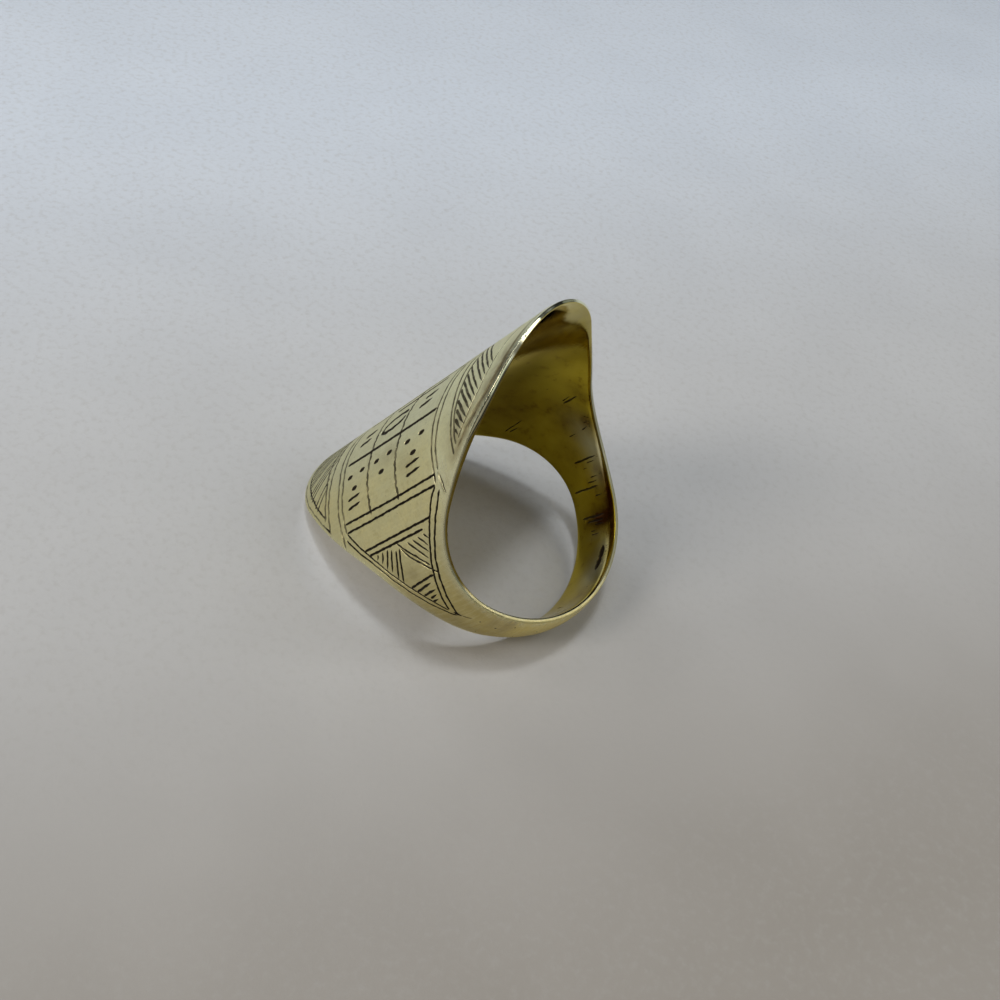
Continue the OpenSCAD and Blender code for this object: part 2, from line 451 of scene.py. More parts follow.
# Bender and file marks on the wall of the hole: x, angle, length along the finger, width, and how many
# degrees each turns over its length
WALL_MARKS = (
    (-3.4, 69.9, 2.6, 0.11, -0.8), (-3.75, 71.9, 1.3, 0.13, 0.0), (3.38, 72.8, 1.7, 0.19, 0.2),
    (3.15, 71.2, 1.0, 0.1, -0.2), (2.75, 61.5, 0.35, 0.11, 0.3), (-6.6, 58.0, 1.6, 0.1, -0.6),
    (4.14, 81.4, 0.2, 0.12, 0.0), (3.3, 83.8, 0.4, 0.13, 0.2), (2.95, 86.4, 0.45, 0.14, 0.1),
    (2.5, 88.9, 0.8, 0.12, -0.6), (0.95, 89.3, 0.9, 0.09, 0.2), (0.75, 102.6, 2.6, 0.18, 0.8),
    (1.2, 104.7, 1.0, 0.1, 0.4), (-0.3, 116.4, 2.9, 0.2, 1.1), (0.6, 114.1, 1.2, 0.14, 0.5),
    (0.95, 112.0, 0.9, 0.11, 0.4), (0.9, 121.4, 0.9, 0.14, 0.2), (0.35, 106.8, 0.6, 0.09, 0.3),
    (-0.1, 130.8, 2.7, 0.23, 1.4), (0.1, 133.2, 2.0, 0.19, 1.2), (0.5, 135.4, 1.2, 0.14, 0.6),
    (-0.1, 138.0, 0.9, 0.1, 0.3), (0.05, 140.0, 1.1, 0.13, 0.4), (1.1, 172.4, 0.5, 0.1, 0.3),
    (9.2, 29.2, 0.45, 0.17, 1.2), (7.45, 31.6, 0.28, 0.15, 0.5), (-0.4, -174.1, 1.0, 0.13, 1.0),
    (0.3, -169.0, 0.8, 0.1, 0.6), (2.9, -70.0, 2.2, 0.12, 0.5), (-2.4, -74.0, 1.6, 0.12, -0.6),
    (0.4, -104.0, 2.0, 0.12, 0.4), (-0.6, -127.0, 2.4, 0.14, -0.3), (0.9, -141.0, 1.4, 0.12, 0.5),
    (-1.0, -158.0, 1.2, 0.12, 0.2), (5.2, -44.0, 1.5, 0.11, -0.8), (-7.9, -33.0, 1.2, 0.12, 0.6),
)


def wall_cuts():
    """The marks on the wall of the hole."""
    out = []
    mark = dict(depth=0.05, soot=0.9, ends=(0.15, 0.6))
    for x, a, run, width, tilt in WALL_MARKS:
        ends = [(x - run / 2, a - tilt / 2), (x + run / 2, a + tilt / 2)]
        out.append(cut(ends, width=width, seed=int(a), **mark))
    # A dark oblong pit beside the shank, lying round the finger
    pit = dict(width=0.54, depth=0.14, wobble=0.03, wave=0.9, ends=(0.12, 0.2), ragged=0.2, seed=5)
    out.append(cut([(1.14, 147.6), (1.08, 154.5), (0.95, 162.0)], **pit))
    return out


# Soft blots: x, angle, half length along the finger, half height round it, and strength
# Brown stains of the outer face, and a dark blot over the lower end of the near leaf, at x 9.2 and angle -46
OUTER_BLOTS = (
    (-0.4, -88, 0.8, 0.5, 0.5), (1.6, -132, 1.7, 0.6, 0.8), (1.3, -126, 1.1, 0.4, 0.6),
    (-0.6, -114, 0.7, 0.5, 0.4), (0.2, -37, 1.1, 0.8, 0.4), (2.7, -46, 0.9, 0.7, 0.35),
    (-2.4, -96, 1.2, 2.4, 0.35), (9.2, -46, 1.3, 1.6, 0.6), (7.4, -63, 0.5, 0.6, 0.4),
    (-1.4, -150, 1.5, 0.6, 0.5), (0.5, 95, 0.9, 0.6, 0.5), (-1.2, 138, 1.6, 0.7, 0.7),
    (3.1, 41, 1.0, 0.9, 0.4), (-5.2, 44, 0.9, 0.6, 0.35),
)
# Places on the outer face painted pale as highlights, where they are also glossier
PAINTED_HIGHLIGHT_BLOTS = ((6.8, -60, 0.9, 1.7, 0.45), (7.6, 58, 0.8, 1.2, 0.3))
# Pale spots on the wall of the hole. The two by the near tip, at angles 31 and 46, are a painted reflection
# of the lit table, and the one at angle 100 is painted light on the upper wall
PALE_AND_PAINTED_LIGHT_BLOTS = (
    (2.2, 100, 1.1, 2.4, 0.9), (1.5, 111, 0.8, 1.1, 0.5), (1.2, 149, 0.9, 1.0, 0.6),
    (0.9, 162, 1.2, 1.7, 0.9), (0.3, 141, 0.9, 0.5, 0.3), (12.4, 31, 1.6, 1.7, 0.35),
    (10.4, 46, 0.9, 1.2, 0.3), (0.5, -150, 1.2, 2.0, 0.3), (2.0, -105, 1.0, 1.6, 0.3),
)
# Brown stains of the wall of the hole; the broad ones inside the near tip, at x 8.6 and 10.7, are painted
# shade for the dark band that the wall there reflects
INNER_STAIN_AND_SHADE_BLOTS = (
    (1.0, 132.6, 1.9, 0.85, 1.5), (2.2, 124, 0.75, 2.4, 1.3), (2.1, 141, 0.5, 1.3, 1.0),
    (3.0, 86, 0.9, 0.9, 0.7), (4.6, 73, 0.7, 1.7, 0.5), (0.9, 178, 0.8, 1.5, 0.3), (-1.8, 62, 2.6, 2.2, 0.45),
    (1.6, 80, 1.8, 2.4, 0.45), (-0.5, 97, 1.5, 1.5, 0.35), (9.4, 27, 0.4, 0.3, 0.5),
    (10.7, 25, 1.3, 2.4, 0.5), (8.6, 32, 2.6, 3.2, 0.5), (-1.2, -118, 1.5, 1.0, 0.8),
    (4.2, -62, 1.6, 2.0, 0.6), (-3.5, -80, 1.5, 1.5, 0.6), (0.4, -150, 1.2, 0.9, 0.6),
)


def blots(points, spots):
    """How strong the soft blots are at points of the flat sheet."""
    out = np.zeros(len(points))
    for x, a, long, high, share in spots:
        off = ((points[:, 1] - x) / long) ** 2 + ((points[:, 0] - math.radians(a) * HOLE_R) / high) ** 2
        out = np.maximum(out, share * np.exp(-off))
    return out


def dents(points, size, seed):
    """Low, broad unevenness, none at the rims, and the same at both ends of the sheet, where they join."""
    out = np.empty(len(points))
    around = 9
    fade = np.clip((rim_gap(points[:, 0], points[:, 1]) - EDGE_IN) / DENT_FADE, 0, 1)
    for k, (s, x) in enumerate(points):
        turn = s / HOLE_R
        at = (x / size + seed, around * math.sin(turn) / size, around * math.cos(turn) / size)
        out[k] = noise.noise(Vector(at))
    return out * fade


def reach(cuts, points, own=None):
    """At points of the flat sheet: depth, share of the way from edge to bottom, soot, and distance to the
    nearest cut. own is the number of the cut that a point is the edge of, in which it isn't sunk, or -1."""
    far, look, batch = 9.0, 0.5, 1500
    thinnest, soot_edge, own_edge = 0.004, 0.006, 0.06
    depth, sunk, soot = (np.zeros(len(points)) for _ in range(3))
    clear = np.full(len(points), far)
    own = np.full(len(points), -1) if own is None else own
    for k, c in enumerate(cuts):
        low, high = c.line.min(0) - look, c.line.max(0) + look
        near = np.where(((points > low) & (points < high)).all(1))[0]
        for part in np.array_split(near, max(1, len(near) // batch)):
            if not len(part):
                continue
            p, a, b = points[part][:, None], c.line[None, :-1], c.line[None, 1:]
            ab = b - a
            t = np.clip(((p - a) * ab).sum(2) / np.maximum((ab**2).sum(2), 1e-12), 0, 1)
            off = np.linalg.norm(p - a - t[..., None] * ab, axis=2)
            half = c.half[:-1] + t * (c.half[1:] - c.half[:-1])
            down = c.depth[:-1] + t * (c.depth[1:] - c.depth[:-1])
            share = np.where(half > thinnest, np.clip(1 - off / np.maximum(half, thinnest), 0, 1), 0)
            share = share * (own[part] != k)[:, None]
            depth[part] = np.maximum(depth[part], (down * share).max(1))
            sunk[part] = np.maximum(sunk[part], share.max(1))
            edge = np.where(own[part] == k, own_edge, soot_edge)[:, None]
            soot[part] = np.maximum(soot[part], np.where(off - half < edge, c.soot[:-1], 0).max(1))
            clear[part] = np.minimum(clear[part], (off - half).min(1))
    return depth, sunk, soot, clear


def lattice_points(gap):
    """Plain points all over the flat sheet, in rows that make even triangles."""
    points = []
    row_gap = 0.866 * gap
    row = 0
    s = -HALF_TURN + gap / 2
    while s < HALF_TURN:
        w = float(half_width(s))
        x = -w + (0.5 if row % 2 else 1.0) * gap
        while x < w:
            points.append((s, x))
            x += gap
        s += row_gap
        row += 1
    return np.array(points)


def cut_sheet(cuts, stations, lattice, margin):
    """Points and triangles of the flat sheet between its rims, with every groove's edges and bottom as edges
    of the mesh, and for each point the number of the cut that it is the edge of, or -1."""
    verts, edges, edge_of = [], [], {}
    margin = np.broadcast_to(margin, stations.shape)
    limit = half_width(stations) - margin

    def chain(points, before=(), after=()):
        """Adds points, joined in a row from the point numbered before to the one after."""
        row = [*before, *range(len(verts), len(verts) + len(points)), *after]
        verts.extend(tuple(p) for p in points)
        edges.extend(zip(row[:-1], row[1:]))
        return row

    # The two rims, and the two ends of the sheet between them
    for sign in (1, -1):
        chain([(s, sign * w) for s, w in zip(stations, limit)])
    n = len(stations)
    end_steps = np.linspace(-1, 1, 13)[1:-1]
    for k in (0, n - 1):
        chain([(stations[k], limit[k] * float(v)) for v in end_steps], (n + k,), (k,))

    for number, c in enumerate(cuts):
        s, x = c.line[:, 0], c.line[:, 1]
        keep = rim_gap(s, x) > np.interp(s, stations, margin) + CUTS_OFF_RIMS + c.half
        line, half = c.line[keep], c.half[keep]
        if len(line) < 3:
            continue
        side = sideways(line)
        bottom = chain(line)
        edge_of.update({bottom[0]: number, bottom[-1]: number})
        for way in (1, -1):
            edge_line = (line + way * side * half[:, None])[1:-1]
            edge_of.update({i: number for i in chain(edge_line, bottom[:1], bottom[-1:])})

    grid = lattice_points(lattice)
    s, x = grid[:, 0], grid[:, 1]
    inward = rim_gap(s, x) - np.interp(s, stations, margin)
    clear = reach(cuts, grid)[3]
    grid = grid[(inward > OFF_RIMS) & (clear > OFF_CUTS) & (np.abs(s) < HALF_TURN - OFF_SEAM)]
    verts += [tuple(p) for p in grid]

    made = delaunay_2d_cdt([Vector(v) for v in verts], edges, [], 1, 1e-5)
    flat = np.array([tuple(v) for v in made[0]])
    own = np.array([next((edge_of[i] for i in ids if i in edge_of), -1) for ids in made[3]])
    return flat, [tuple(f) for f in made[2]], own


class Skin:
    """The mesh in the making, with the values at its points that the brass is coloured by."""

    # How deep in a cut; how much oxide, and dark painted shade on the rims; how rubbed, and painted
    # highlights; how far inside the hole; how stained, and painted shade
    names = ("sunk", "soot", "rim", "inside", "stain")

    def __init__(self):
        self.points, self.faces = [], []
        self.values = {name: [] for name in self.names}

    def add(self, points, faces, **values):
        first = sum(len(p) for p in self.points)
        self.points.append(points)
        self.faces.extend(tuple(first + i for i in f) for f in faces)
        for name in self.names:
            self.values[name].append(values[name])


def add_outer_face(skin, stations):
    """The outer face with its engraving. Returns the number of cuts."""
    cuts = round_cuts() + both_flanks(leaf_hatch) + both_flanks(flank_cuts) + border_cuts()
    flat, tris, own = cut_sheet(cuts, stations, LATTICE, EDGE_OUT)
    s, x = flat[:, 0], flat[:, 1]
    gap = rim_gap(s, x)
    depth, sunk, soot, _ = reach(cuts, flat, own)
    inland = np.clip((half_width(s) - np.abs(x) - EDGE_OUT) / CUT_FADE, 0, 1)
    radius = outer_radius(s, x) + DENT * dents(flat, DENT_SIZE, 3.1) - depth * inland
    # The margin is rubbed, the far tip's least
    worn = np.clip(1 - (gap - EDGE_OUT) / WEAR_WIDTH, 0, 1) * np.interp(x, [-11, -6], [0.2, 1])
    # Painted shade darkens the margin of the near leaf, most of all close to the rim
    painted_margin_shade = np.interp(gap, [0.16, 0.32, 0.55, 0.8, 1.1, 1.6], [0.0, 0.9, 0.9, 0.4, 0.5, 0.0])
    painted_margin_shade *= np.interp(np.abs(np.degrees(s / HOLE_R)), [10, 18, 52, 60], [0, 1, 1, 0]) * (x > 0)
    # Stains and painted shade go into stain, rubbing and painted highlights into rim
    skin.add(
        placed(s, x, radius), tris, sunk=sunk * inland, soot=soot, inside=np.zeros(len(flat)),
        rim=np.maximum(0.5 * worn, blots(flat, PAINTED_HIGHLIGHT_BLOTS)),
        stain=np.maximum(blots(flat, OUTER_BLOTS), painted_margin_shade),
    )
    return len(cuts)


def add_hole_wall(skin, stations, roll_in):
    """The wall of the hole between the rolls of its two rims."""
    cuts = wall_cuts()
    flat, tris, own = cut_sheet(cuts, stations, WALL_LATTICE, roll_in)
    s, x = flat[:, 0], flat[:, 1]
    depth, sunk, soot, _ = reach(cuts, flat, own)
    roll = np.interp(s, stations, roll_in)
    inland = np.clip((half_width(s) - np.abs(x) - roll) / CUT_FADE, 0, 1)
    free = np.clip((half_width(s) - np.abs(x) - 1.2 * roll) / 2, 0, 1)
    uneven = WALL_DENT * (1 + dents(flat, WALL_DENT_SIZE, 17.7)) * free
    radius = HOLE_R + flare(x) + uneven + depth * inland
    skin.add(
        placed(s, x, radius), [f[::-1] for f in tris], sunk=sunk * inland, soot=soot,
        inside=np.ones(len(flat)), rim=blots(flat, PALE_AND_PAINTED_LIGHT_BLOTS), stain=blots(flat, INNER_STAIN_AND_SHADE_BLOTS),
    )


def rim_loops(stations, roll_in, sign):
    """Lines along a rim, each as (half width, radius): 0 to 5 are its outer corner, 6 to 9 its face, 10 to 15
    its inner corner, and 16 to 19 the low roll into the hole."""
    wide = half_width(stations)
    tall = EDGE_OUT + EDGE_BACK * backness(stations)
    high = outer_radius(stations, sign * (wide - EDGE_OUT)) - tall
    wall = HOLE_R + flare(wide - roll_in)
    corner = CORNER_IN + CORNER_BACK * backness(stations)
    deep = np.minimum(EDGE_DEEP * (0.85 + 0.6 * tip_share(stations)), 0.8 * (high - wall) - corner)
    low = wall + deep + corner
    quarter = np.linspace(0, math.pi / 2, 6)
    loops = [(wide + EDGE_OUT * (math.sin(t) - 1), high + tall * math.cos(t)) for t in quarter]
    loops += [(wide, high + (low - high) * t) for t in (0.2, 0.4, 0.6, 0.8)]
    # The inner corner turns until it meets the low roll
    meet = np.arctan2(roll_in - corner, 2 * deep)
    for t in (0, 0.2, 0.4, 0.6, 0.8, 1):
        loops.append((wide + corner * (np.cos(meet * t) - 1), low - corner * np.sin(meet * t)))
    first, base = loops[-1]
    left, fall = roll_in - (wide - first), base - wall
    loops += [(first - left * t, wall + fall * (1 - t) ** 2) for t in (0.25, 0.5, 0.75, 1)]
    return loops


def rim_values(stations, loops, sign):
    """The looks of a rim, loop by loop and station by station. Numbers of loops are those of rim_loops, and
    turn is the angle round the finger. The painted shade, the brown of the roll and the nick are on the side
    of the near tip only."""
    near = sign > 0
    turn = np.degrees(stations / HOLE_R)
    loop = np.arange(len(loops))[:, None]
    into = np.interp(loop, [13, 16], [0, 1])
    fade = np.interp(loop, [16, 19], [1, 0])

    # Wear rubs the rim's face. Along the near tip the roll is painted pale as a reflection of the lit table,
    # and behind the finger the inner corner is rubbed and painted pale as a highlight line
    edge = np.interp(loop, [0, 4, 6, 9, 10, 11], [0.5, 0.7, 1.0, 1.0, 0.3, 0.0])
    edge = edge * np.interp(turn, [-112, -104, 164, 178], [0.35, 1, 1, 0.35])
    pale_and_painted_reflection = np.interp(turn, [-12, 4, 48, 62], [0, 0.32, 0.32, 0]) * np.interp(loop, [9, 10], [0, 1]) * fade
    bright = np.interp(turn, [-118, -104, 150, 168, 180], [1, 0, 0, 0.3, 1])
    bright = bright * np.interp(loop, [9, 10, 14, 16], [0, 1, 1, 0])

    # A black line of painted shade runs along the rim of the left flank, with a painted dark olive reflection
    # from there to the hole; the right flank has the painted line in its inner corner, and a brown roll
    # beside the shank
    peak = np.interp(turn, [-52, -44, -20, 50], [5, 8.6, 8.6, 12])
    breadth = np.interp(turn, [-52, -44, -20, 50], [0.9, 1.7, 1.7, 2.5])
    along = np.interp(
        turn, [-114, -100, -30, -22, 56, 66, 112, 122, 142, 150, 165, 172],
        [0, 1, 1, 0, 0, 0.9, 0.9, 0, 0, 0.8, 0.8, 0],
    )
    line = np.exp(-(((loop - peak) / breadth) ** 4)) * along * near
    painted_olive_reflection = np.clip(loop - peak - 0.4, 0, 1) * np.interp(turn, [-112, -100, -26, -20], [0, 1, 1, 0])
    painted_olive_reflection = painted_olive_reflection * fade * near
    brown = np.interp(turn, [48, 62, 84, 104, 114, 150, 158], [0, 0.5, 0.2, 0.25, 0.95, 0.95, 0])
    brown = into * fade * brown * near

    # A dirty nick breaks the light on the rim of the near leaf, and the right flank's rims are darker and
    # duller
    nick = 0.75 * np.exp(-(((turn + 21.5) / 3.2) ** 4)) * np.interp(loop, [2, 5, 16, 19], [0, 1, 1, 0]) * near
    dull = 0.5 * np.interp(turn, [44, 60, 160, 176], [0, 1, 1, 0])
    dull = dull * np.interp(loop, [1, 3, 12, 15], [0, 1, 1, 0])

    # The blots of the wall of the hole run on over the roll
    spread = [np.stack([stations, sign * x], axis=1) for x, _ in loops]
    pale_and_painted_reflection = np.maximum(pale_and_painted_reflection, into * np.array([blots(q, PALE_AND_PAINTED_LIGHT_BLOTS) for q in spread]))
    stained = into * np.array([blots(q, INNER_STAIN_AND_SHADE_BLOTS) for q in spread])
    # The painted shade of the black line and of the olive band is laid on like oxide
    soot = np.maximum(np.maximum(line, 0.45 * painted_olive_reflection), np.maximum(nick, dull))
    values = dict(
        sunk=0.3 * np.sign(soot),
        soot=soot,
        rim=np.maximum(np.maximum(edge, pale_and_painted_reflection), bright) * (1 - 0.95 * painted_olive_reflection),
        inside=np.maximum(np.interp(loop, [9, 11], [0, 1]), painted_olive_reflection),
        stain=np.maximum(np.maximum(0.5 * painted_olive_reflection, brown), stained),
    )
    return {name: grid.ravel() for name, grid in values.items()}


def add_rim(skin, stations, roll_in, sign):
    """One rim, from the outer face over the filed corner to the wall of the hole."""
    loops = rim_loops(stations, roll_in, sign)
    points = np.stack([placed(stations, sign * x, r) for x, r in loops])
    n = len(stations)
    quads = []
    for j in range(len(loops) - 1):
        for k in range(n - 1):
            quad = (j * n + k, j * n + k + 1, (j + 1) * n + k + 1, (j + 1) * n + k)
            quads.append(quad if sign > 0 else quad[::-1])
    skin.add(points.reshape(-1, 3), quads, **rim_values(stations, loops, sign))


def build_ring():
    stations = np.radians(np.arange(-180, 180 + STATION / 2, STATION)) * HOLE_R
    stations[0], stations[-1] = -HALF_TURN, HALF_TURN
    # Width of the low roll, along the finger
    roll_in = EDGE_IN + EDGE_TIP * tip_share(stations) * np.sqrt(1 + rim_slope(stations) ** 2)
    skin = Skin()
    cuts = add_outer_face(skin, stations)
    add_hole_wall(skin, stations, roll_in)
    for sign in (1, -1):
        add_rim(skin, stations, roll_in, sign)

    co = np.vstack(skin.points)
    # Nothing reaches below the table
    co[:, 2] = np.maximum(co[:, 2], 0)
    mesh = bpy.data.meshes.new("engraved_ring")
    mesh.from_pydata(co.tolist(), [], skin.faces)
    for name, values in skin.values.items():
        data = mesh.attributes.new(name, "FLOAT", "POINT").data
        data.foreach_set("value", np.concatenate(values).astype(np.float32))
    bm = bmesh.new()
    bm.from_mesh(mesh)
    bmesh.ops.remove_doubles(bm, verts=bm.verts, dist=2e-6)
    bmesh.ops.recalc_face_normals(bm, faces=bm.faces)
    bm.to_mesh(mesh)
    open_edges = sum(1 for e in bm.edges if len(e.link_faces) != 2)
    print(f"ring mesh: {len(bm.verts)} vertices, {len(bm.faces)} faces, {open_edges} open edges, {cuts} cuts")
    bm.free()
    mesh.shade_smooth()
    mesh.set_sharp_from_angle(angle=math.radians(24))
    ring = bpy.data.objects.new("engraved_ring", mesh)
    bpy.context.collection.objects.link(ring)
    return ring


# Materials
class Nodes:
    """Short calls for one material's node tree."""

    def __init__(self, name):
        self.material = bpy.data.materials.new(name)
        self.material.use_nodes = True
        self.tree = self.material.node_tree
        self.shader = self.tree.nodes["Principled BSDF"]

    def put(self, socket, value):
        if isinstance(value, bpy.types.NodeSocket):
            self.tree.links.new(value, socket)
        else:
            socket.default_value = value

    def set(self, name, value):
        """Sets an input of the shader itself."""
        self.put(self.shader.inputs[name], value)

    def node(self, kind, out=0, props=None, **inputs):
        """An output of a new node. Inputs are given by name, or by number, as in i0."""
        n = self.tree.nodes.new(kind)
        for k, v in (props or {}).items():
            setattr(n, k, v)
        for k, v in inputs.items():
            numbered = k[0] == "i" and k[1:].isdigit()
            self.put(n.inputs[int(k[1:]) if numbered else k], v)
        return n.outputs[out]

    def place(self):
        """Places in the row's frame, in metres."""
        return self.node("ShaderNodeTexCoord", out=3)

    def coords(self, scale, turn=(0, 0, 0)):
        """Places in millimetres, with the ring's lean taken off: the third axis is along the finger."""
        lean = (0, math.asin(LEAN_SIN), 0)
        straight = self.node(
            "ShaderNodeMapping", props={"vector_type": "TEXTURE"}, Vector=self.place(), Rotation=lean
        )
        scale = tuple(k / MM for k in scale)
        return self.node("ShaderNodeMapping", Vector=straight, Rotation=turn, Scale=scale)

    def noise(self, vector, scale, detail=3.0, rough=0.55):
        return self.node("ShaderNodeTexNoise", Vector=vector, Scale=scale, Detail=detail, Roughness=rough)

    def ramp(self, value, low, high, to_low=0.0, to_high=1.0, kind="SMOOTHSTEP"):
        """A value that goes from to_low to to_high while the given one goes from low to high."""
        return self.node(
            "ShaderNodeMapRange", props={"interpolation_type": kind},
            i0=value, i1=low, i2=high, i3=to_low, i4=to_high,
        )

    def mix(self, factor, a, b):
        """A colour between a, at factor 0, and b, at 1."""
        return self.node("ShaderNodeMix", out=2, props={"data_type": "RGBA"}, i0=factor, i6=a, i7=b)

    def math(self, operation, a, b):
        return self.node("ShaderNodeMath", props={"operation": operation}, i0=a, i1=b)

    def attribute(self, name):
        return self.node("ShaderNodeAttribute", out=2, props={"attribute_name": name})


# Colours of the brass. Outside: its two plain tones and their darker patches, the crest, the two tips, the
# foot of the flanks and the band behind the finger, then specks, haze and bright file marks
PLAIN, PLAIN_2, DRAB = (0.76, 0.70, 0.38, 1), (0.82, 0.74, 0.38, 1), (0.62, 0.55, 0.27, 1)
CREST, NEAR_TIP, FAR_TIP = (0.81, 0.82, 0.60, 1), (0.95, 0.90, 0.55, 1), (0.56, 0.52, 0.22, 1)
FLANK_FOOT, BAND = (0.51, 0.41, 0.145, 1), (0.73, 0.60, 0.215, 1)
SPECK, HAZE, FILED = (0.3, 0.24, 0.12, 1), (0.42, 0.38, 0.2, 1), (0.9, 0.86, 0.56, 1)
# In the hole: its two plain tones and their brown patches
HOLE, HOLE_2, HOLE_BROWN = (0.60, 0.46, 0.035, 1), (0.50, 0.37, 0.02, 1), (0.26, 0.15, 0.01, 1)
# Rubbed metal, which also paints highlights and reflections; stains and oxide outside and in the hole, which
# also paint shade
RUBBED = (0.83, 0.84, 0.62, 1)
STAIN, HOLE_STAIN = (0.36, 0.29, 0.15, 1), (0.10, 0.032, 0.004, 1)
OXIDE, HOLE_OXIDE = (0.022, 0.016, 0.009, 1), (0.012, 0.006, 0.002, 1)


def outer_colour(m, plain, broad, patchy, filed):
    """The outer face without its stains. The first axis of plain points from the plate to the band behind the
    finger, and its third lies along the finger."""
    apart = m.node("ShaderNodeSeparateXYZ", Vector=plain)
    along = m.node("ShaderNodeSeparateXYZ", out=2, Vector=plain)
    colour = m.mix(m.ramp(broad, 0.35, 0.65), PLAIN, PLAIN_2)
    colour = m.mix(m.ramp(patchy, 0.52, 0.72, 0, 0.5), colour, DRAB)
    crest = m.math("MULTIPLY", m.ramp(apart, -10.4, -7.8, 0.65, 0.0), m.ramp(along, -12.0, -7.0))
    colour = m.mix(crest, colour, CREST)
    colour = m.mix(m.ramp(along, 12.5, 16.0, 0, 0.5), colour, NEAR_TIP)
    colour = m.mix(m.ramp(along, -14.0, -10.5, 0.7, 0.0), colour, FAR_TIP)
    colour = m.mix(m.ramp(apart, -4.2, 3.2, 0, 0.9), colour, FLANK_FOOT)
    colour = m.mix(m.ramp(apart, 3.5, 7.0), colour, BAND)
    colour = m.mix(m.ramp(m.noise(plain, 5.5, 2), 0.67, 0.77, 0, 0.55), colour, SPECK)
    colour = m.mix(m.ramp(m.noise(plain, 4.0, 4, 0.7), 0.35, 0.65, 0, 0.16), colour, HAZE)
    return m.mix(m.ramp(filed, 0.43, 0.66, 0, 0.2), colour, FILED)


def brass_material():
    m = Nodes("old_brass")
    plain = m.coords((1, 1, 1))
    broad = m.noise(plain, 0.28, 4)
    patchy = m.noise(plain, 1.1, 5, 0.65)
    # Brushing round the finger, file marks along it, and slanted ones that vary the gloss in the hole
    brushed = m.noise(m.coords((0.35, 0.35, 7.0)), 1.0, 5, 0.6)
    filed = m.noise(m.coords((5.0, 5.0, 0.3)), 1.0, 4, 0.6)
    slanted = m.noise(m.coords((1.2, 1.2, 5.5), (0.6, 0.5, 0)), 1.0, 3, 0.5)
    sunk, soot, rim, inside, stain = (m.attribute(name) for name in Skin.names)
    outside = m.math("SUBTRACT", 1.0, inside)
    stain = m.math("MULTIPLY", stain, m.ramp(patchy, 0.36, 0.56, 0.75, 1.0))
    cut_in = m.math("MULTIPLY", m.ramp(sunk, 0.02, 0.22), soot)

    hole = m.mix(m.ramp(broad, 0.38, 0.62), HOLE, HOLE_2)
    hole = m.mix(m.ramp(patchy, 0.54, 0.72, 0, 0.6), hole, HOLE_BROWN)
    colour = m.mix(inside, outer_colour(m, plain, broad, patchy, filed), hole)
    # The rubbed colour here also paints highlights and reflections, and the stain and oxide colours paint
    # shade
    colour = m.mix(m.math("MULTIPLY", rim, 0.8), colour, RUBBED)
    colour = m.mix(stain, colour, m.mix(inside, STAIN, HOLE_STAIN))
    colour = m.mix(cut_in, colour, m.mix(inside, OXIDE, HOLE_OXIDE))
    m.set("Base Color", colour)
    m.set("Metallic", m.ramp(cut_in, 0.0, 1.0, 1.0, 0.15, kind="LINEAR"))
    m.set("Specular IOR Level", 0.2)
    m.set("Specular Tint", (1.0, 0.975, 0.85, 1))

    # Satin outside and glossier where it is rubbed, glossy in the hole, and dull in the cuts
    rough = m.math("ADD", m.ramp(brushed, 0.3, 0.7, 0.3, 0.42), m.ramp(patchy, 0.4, 0.7, 0.0, 0.08))
    rough = m.math("MAXIMUM", m.math("SUBTRACT", rough, m.math("MULTIPLY", rim, 0.26)), 0.09)
    hole_rough = m.ramp(slanted, 0.3, 0.7, 0.03, 0.08)
    rough = m.math("ADD", m.math("MULTIPLY", rough, outside), m.math("MULTIPLY", hole_rough, inside))
    m.set("Roughness", m.math("MAXIMUM", rough, m.math("MULTIPLY", cut_in, 0.6)))

    # The marks are at most a few hundredths of a millimetre high, and rubbed away on the rims
    file_height = m.math("MULTIPLY", filed, m.ramp(inside, 0.0, 1.0, 0.4, 0.5))
    height = m.math("ADD", m.math("MULTIPLY", brushed, 0.5), file_height)
    height = m.math("ADD", height, m.math("MULTIPLY", slanted, 0.3))
    height = m.math("MULTIPLY", height, m.math("SUBTRACT", 1.0, m.math("MULTIPLY", rim, 0.85)))
    m.set("Normal", m.node("ShaderNodeBump", Strength=0.35, Distance=0.03 * MM, Height=height))
    return m.material


# Colours of the table, each in two tones, and its speckles; the near colours are a painted shadow and the far
# ones painted daylight
TABLE_NEAR_PAINTED_SHADOW = ((0.380, 0.345, 0.303, 1), (0.405, 0.370, 0.328, 1))
TABLE_MIDDLE = ((0.625, 0.620, 0.615, 1), (0.655, 0.650, 0.645, 1))
TABLE_FAR_PAINTED_LIGHT = ((0.79, 0.845, 0.925, 1), (0.82, 0.875, 0.955, 1))
SPECKLE = (0.48, 0.46, 0.43, 1)


